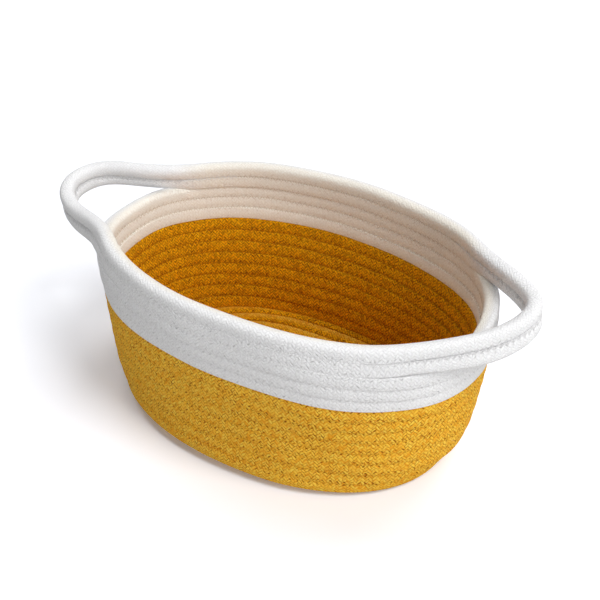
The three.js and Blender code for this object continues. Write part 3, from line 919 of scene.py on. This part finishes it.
def ringStrand(level, start, end):
    total = rings[level]["lengths"][-1]
    lengths = np.linspace(start + endRing, end - endRing, int((end - start) / rope["ringStep"]) + 2)
    lengths = np.concatenate([[start], lengths, [end]])
    repeat = 4 * whiteLook["lay"]
    at = ringFrame(level, lengths)
    n = len(lengths)
    loose, onWall = rope["loose"], at["onWall"]
    phase = np.interp(at["place"], np.concatenate([rings[0]["place"], [4.0]]), ringPhase)
    wallPhase = lengthAtTurn(whiteEnd - 1 + at["shares"]) / stitch["pitch"]
    upper = level == 1
    outerSeam, innerSeam = (pressed(rope["seamed"], press, onWall) for press in ("outerPress", "innerPress"))
    outerFree, innerFree = (pressed(loose, press, onWall) for press in ("outerPress", "innerPress"))
    outerTop, innerTop = (np.full(n, loose),) * 2 if upper else (outerSeam, innerSeam)
    outerBottom, innerBottom = (outerSeam, innerSeam) if upper else (outerFree, innerFree)
    wide = halfThick * (0.98 + 0.02 * onWall) * lumps(lengths, 2.0 + level, total)
    along = lengths * repeat * round(total / repeat) / total  # the braid meets itself after one round
    sunk = rope["overlap"]
    return {
        "centre": at["centre"], "outward": at["outward"], "tangent": at["tangent"], "along": along,
        "sides": rope["ringSides"], "seams": "over", "wide": wide,
        "tallTop": np.full(n, halfTall) if upper else at["toOther"] + sunk / 2,
        "tallBottom": at["toOther"] + sunk / 2 if upper else at["toRow"] + sunk * onWall,
        "paintedInnerLightShare": onWall[:, None],
        "squares": (outerTop, outerBottom, innerTop, innerBottom),
        "above": (phase, np.zeros(n) if upper else np.ones(n)),
        "below": (phase if upper else wallPhase, np.ones(n) if upper else (onWall > 0.5).astype(float)),
    }


ringNames = {"rim": "rim", "left": "leftHandle", "right": "rightHandle"}
ringPieces = {}
for key, name in ringNames.items():
    strands = [ringStrand(level, *run) for level in (0, 1) for run in ringRuns(rings[level])[key]]
    ringPieces[key] = makeRope(name + "Ropes", strands, whiteCotton)
print("ropes made")


# Zigzag stitches: a guide runs along each seam and the node tree swings a thread from side to side of it
def zigzagTree():
    tree = bpy.data.node_groups.new("zigzagStitches", "GeometryNodeTree")
    addSocket(tree, "Geometry", "Geometry")
    for name, start in (("threadRadius", 0.00022), ("holeDepth", 0.0003), ("bridge", 0.00005)):
        addSocket(tree, name, "Float", start)
    addSocket(tree, "thread", "Material")
    addSocket(tree, "Geometry", "Geometry", way="OUTPUT")
    add, calc = nodeMaker(tree)
    given = tree.nodes.new("NodeGroupInput").outputs

    def named(name, kind):
        node = tree.nodes.new("GeometryNodeInputNamedAttribute")
        node.data_type = kind
        node.inputs["Name"].default_value = name
        return node.outputs["Attribute"]

    def scaled(vector, size):
        made = add("ShaderNodeVectorMath", vector, operation="SCALE")
        tree.links.new(size, made.node.inputs["Scale"])
        return made

    swing = named("swing", "FLOAT")
    atHole = calc("ABSOLUTE", swing)
    sink = calc("MULTIPLY", atHole, given["holeDepth"])
    stand = calc("SUBTRACT", calc("MULTIPLY", calc("SUBTRACT", 1.0, atHole), given["bridge"]), sink)
    lean, depth = scaled(named("lean", "FLOAT_VECTOR"), swing), scaled(named("face", "FLOAT_VECTOR"), stand)
    guide = add("GeometryNodeMeshToCurve", given["Geometry"])
    place = tree.nodes.new("GeometryNodeSetPosition")
    tree.links.new(guide, place.inputs["Geometry"])
    tree.links.new(add("ShaderNodeVectorMath", lean, depth, operation="ADD"), place.inputs["Offset"])
    circle = tree.nodes.new("GeometryNodeCurvePrimitiveCircle")
    circle.inputs["Resolution"].default_value = stitch["threadSides"]
    tree.links.new(given["threadRadius"], circle.inputs["Radius"])
    tube = add("GeometryNodeCurveToMesh", place.outputs[0], circle.outputs[0])
    tube.node.inputs["Fill Caps"].default_value = True
    paint = tree.nodes.new("GeometryNodeSetMaterial")
    tree.links.new(add("GeometryNodeRealizeInstances", tube), paint.inputs["Geometry"])
    tree.links.new(given["thread"], paint.inputs["Material"])
    tree.links.new(paint.outputs[0], tree.nodes.new("NodeGroupOutput").inputs[0])
    return tree


zigzagStitches = zigzagTree()
quarterSwing = np.array([-1.0, 0.0, 1.0, 0.0])


def quarterSteps(start, end):  # whole quarters of a zigzag between two places that are counted in zigzags
    return np.arange(math.ceil(start * 4), math.floor(end * 4) + 1)


def seamGuide(lowerHole, upperHole, face, steps, side):
    return {
        "centre": (lowerHole + upperHole) / 2, "lean": (upperHole - lowerHole) / 2,
        "face": face, "swing": quarterSwing[steps % 4], "inside": np.full(len(steps), 0.5 - side / 2),
    }


def holePlace(centre, outward, upward, wide, tall, power):  # where the needle goes in, on the rope's face
    tall = np.asarray(tall, float)
    rise = tall - stitch["reach"]
    across = wide * (1 - (rise / tall) ** power) ** (1 / power)
    return centre + outward * across[..., None] + upward * rise[..., None]


def makeStitches(name, guides, material):
    mesh = pointMesh(name, np.concatenate([guide["centre"] for guide in guides]))
    edges, base = [], 0
    for guide in guides:
        i = base + np.arange(len(guide["centre"]) - 1)
        edges.append(np.stack([i, i + 1], 1))
        base += len(guide["centre"])
    edges = np.concatenate(edges)
    mesh.edges.add(len(edges))
    mesh.edges.foreach_set("vertices", edges.astype(np.int32).ravel())
    for key in ("lean", "face", "swing", "inside"):
        values = np.concatenate([guide[key] for guide in guides])
        setAttribute(mesh, key, values * mm if key == "lean" else values)
    made = putInScene(name, mesh)
    modifier = made.modifiers.new("stitches", "NODES")
    modifier.node_group = zigzagStitches
    settings = {key: stitch[key] * mm for key in ("threadRadius", "holeDepth", "bridge")}
    settings["thread"] = material
    for item in zigzagStitches.interface.items_tree:
        if item.in_out == "INPUT" and item.name in settings:
            modifier[item.identifier] = settings[item.name]
    bpy.context.view_layer.update()
    evaluated = made.evaluated_get(bpy.context.evaluated_depsgraph_get())
    plain = bpy.data.meshes.new_from_object(evaluated)
    made.modifiers.remove(modifier)
    made.data = plain
    plain.name = name
    plain.polygons.foreach_set("use_smooth", np.ones(len(plain.polygons), bool))
    if not plain.materials:
        plain.materials.append(material)
    print(name, sum(len(p.vertices) - 2 for p in plain.polygons), "triangles")
    return made


upright = np.array([0, 0, 1.0])
bothFaces = ((1, rope["outerPress"]), (-1, rope["innerPress"]))


def wallGuides(start, end):  # seams between each turn and the turn above it, outside and inside
    steps = quarterSteps(*(float(lengthAtTurn(turn)) / stitch["pitch"] for turn in (start, end)))
    turns = turnAtLength(steps * stitch["pitch"] / 4)
    lower, lowerOut = courseAt(turns)
    upper, upperOut = courseAt(turns + 1)
    span = rowSpans(turns)[0]
    guides = []
    for side, power in bothFaces:
        low = holePlace(lower, lowerOut * side, upright, halfThick, span, power)
        high = holePlace(upper, upperOut * side, -upright, halfThick, span, power)
        guides.append(seamGuide(low, high, unit(lowerOut + upperOut) * side, steps, side))
    return guides


mustardEnd = wall["mustardRows"]
mustardStitches = makeStitches("mustardWallStitches", wallGuides(0.02, mustardEnd - 1), mustardThread)
whiteStitches = makeStitches("whiteWallStitches", wallGuides(mustardEnd, whiteEnd - 1), whiteThread)

steps = quarterSteps(*(float(floorLength(turn)) / stitch["pitch"] for turn in (floorStart, floorTurns - 1)))
turns = floorTurn(steps * stitch["pitch"] / 4)
inner, innerOut = floorAt(turns)
outer, outerOut = floorAt(turns + 1)
aside = floorPitch / 2 - stitch["reach"]
power = floorCoil["squareness"]
rise = wall["firstHeight"] * (1 - (aside / (floorPitch / 2)) ** power) ** (1 / power)
guides = []
for side in (1, -1):
    face = np.array([0, 0, side * rise])
    low, high = inner + innerOut * aside + face, outer - outerOut * aside + face
    guides.append(seamGuide(low, high, np.repeat([[0, 0, float(side)]], len(steps), 0), steps, -side))
floorStitches = makeStitches("floorStitches", guides, mustardThread)


def ringGuides(key):
    guides = []
    total = rings[0]["lengths"][-1]
    for start, end in ringRuns(rings[0])[key]:
        steps = quarterSteps(start / total * ringCount, end / total * ringCount)
        low = ringFrame(0, steps / (ringCount * 4) * total)
        high = ringFrame(1, samePlace(low["place"], 1))
        upward = unit(high["centre"] - low["centre"])
        for side, press in bothFaces:
            power = rope["seamed"] + (press - rope["seamed"]) * low["onWall"]
            near = holePlace(low["centre"], low["outward"] * side, upward, halfThick, low["toOther"], power)
            far = holePlace(high["centre"], high["outward"] * side, -upward, halfThick, low["toOther"], power)
            face = unit(low["outward"] + high["outward"]) * side
            guides.append(seamGuide(near, far, face, steps, side if key == "rim" else 1))
        if key == "rim":  # the seam that holds the lower of the two rows to the wall
            below, belowOut = courseAt(whiteEnd - 1 + low["shares"])
            toRow = low["toRow"]
            for side, power in bothFaces:
                near = holePlace(below, belowOut * side, upright, halfThick, toRow, power)
                far = holePlace(low["centre"], low["outward"] * side, -upright, halfThick, toRow, power)
                guides.append(seamGuide(near, far, unit(low["outward"] + belowOut) * side, steps, side))
    return guides


ringStitches = {
    key: makeStitches(name + "Stitches", ringGuides(key), whiteThread) for key, name in ringNames.items()
}
print("stitches made")

# Which body carries each piece
for piece in (mustardWall, whiteWall, floorRope, ringPieces["rim"]):
    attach(piece, "basket")
for piece in (mustardStitches, whiteStitches, floorStitches, ringStitches["rim"]):
    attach(piece, "basket")
for key, side in (("left", -1), ("right", 1)):
    for piece in (ringPieces[key], ringStitches[key]):
        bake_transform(piece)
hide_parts("floor_coil")
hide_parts("mustard_wall_coil")
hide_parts("white_wall_coil")
rimNodes = [f"rim_{place}_{level}_strand" for place in ("front", "back") for level in ("lower", "upper")]
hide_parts(*rimNodes)
for key in ("left", "right"):
    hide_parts(f"{key}_handle_lower_strand", f"{key}_handle_upper_strand")

# Floor, light and camera
studio = {"floorSize": 3.2, "floorTone": 0.6, "seenTone": (1.14, 1.16, 1.22), "worldStrength": 0.075}
lamps = {  # direction from the basket, distance and size in metres, light that it gives there
    "topKey": ((0.55, -0.1, 0.83), 4.5, 2.0, 0.47),
    "sideKey": ((0.85, -0.05, 0.52), 4.5, 2.8, 0.25),
    "leftFill": ((-0.5, 0.2, 0.84), 4.5, 2.8, 0.28),
    "backFill": ((0.15, 0.6, 0.79), 4.5, 2.8, 0.29),
    "frontFill": ((0.1, -0.85, 0.5), 4.5, 2.8, 0.17),
    "lowFill": ((0.7, -0.65, 0.3), 4.5, 2.8, 0.19),
}


def backdropRays(tree):  # 1 where the camera sees it, also in a gloss or through glass
    rays = tree.nodes.new("ShaderNodeLightPath").outputs
    calc = nodeMaker(tree)[1]
    seen = calc("MAXIMUM", rays["Is Camera Ray"], rays["Is Glossy Ray"])
    return calc("MAXIMUM", seen, rays["Is Transmission Ray"])


bpy.ops.mesh.primitive_plane_add(size=studio["floorSize"], location=(0, 0, -0.0002))
ground = bpy.context.object
ground.name = "studioFloor"
groundMaterial, tree, inputs = newMaterial("paleFloor")
inputs["Roughness"].default_value = 1.0
inputs["Specular IOR Level"].default_value = 0.0
# the camera sees the floor overexposed, as in the photo
tones = [(*[studio["floorTone"]] * 3, 1), (*studio["seenTone"], 1)]
add = nodeMaker(tree)[0]
tone = add("ShaderNodeMix", backdropRays(tree), *[None] * 5, *tones, data_type="RGBA", output=2)
tree.links.new(tone, inputs["Base Color"])
ground.data.materials.append(groundMaterial)

target = Vector((0, 0, 0.06))
for name, (direction, distance, size, light) in lamps.items():
    lamp = bpy.data.lights.new(name, "AREA")
    lamp.shape, lamp.size = "DISK", size
    lamp.energy = light * (math.pi * distance) ** 2
    lampObject = putInScene(name, lamp)
    lampObject.location = target + Vector(direction).normalized() * distance
    lampObject.rotation_euler = (target - lampObject.location).to_track_quat("-Z", "Y").to_euler()

world = bpy.data.worlds.new("studioWorld")
world.use_nodes = True
bpy.context.scene.world = world
tree = world.node_tree
calc = nodeMaker(tree)[1]
dim = studio["worldStrength"]
inputs = tree.nodes["Background"].inputs
inputs["Color"].default_value = (1, 1, 1, 1)
tree.links.new(calc("MULTIPLY_ADD", backdropRays(tree), 1 - dim, dim), inputs["Strength"])

view = {  # fitted to the photo's outline and rows; focal, shiftPixels and frame are in pixels
    "azimuth": 29.49, "elevation": 36.26, "roll": 1.98, "distance": 701.43, "focal": 1025.53,
    "target": (0, 0, 63.5), "shiftPixels": (-8.5, 23.01), "frame": 600, "sensor": 36,
}
azimuth, elevation, roll = (math.radians(view[name]) for name in ("azimuth", "elevation", "roll"))
level = math.cos(elevation)
back = Vector((math.sin(azimuth) * level, -math.cos(azimuth) * level, math.sin(elevation)))
right = Vector((math.cos(azimuth), math.sin(azimuth), 0))
up = back.cross(right)
rolledRight = right * math.cos(roll) + up * math.sin(roll)
rolledUp = up * math.cos(roll) - right * math.sin(roll)
cameraPlace = (Vector(view["target"]) + Vector((*wall["shift"], 0)) + back * view["distance"]) * mm
camera = bpy.data.cameras.new("camera")
camera.sensor_fit, camera.sensor_width = "HORIZONTAL", view["sensor"]
camera.lens = view["focal"] / view["frame"] * view["sensor"]
camera.shift_x = -view["shiftPixels"][0] / view["frame"]
camera.shift_y = view["shiftPixels"][1] / view["frame"]
camera.clip_start, camera.clip_end = 0.01, 50
cameraObject = putInScene("camera", camera)
turned = Matrix((rolledRight, rolledUp, back)).transposed().to_4x4()
cameraObject.matrix_world = Matrix.Translation(cameraPlace) @ turned
bpy.context.scene.camera = cameraObject
bpy.context.scene.view_settings.view_transform = "Standard"
print("studio made")
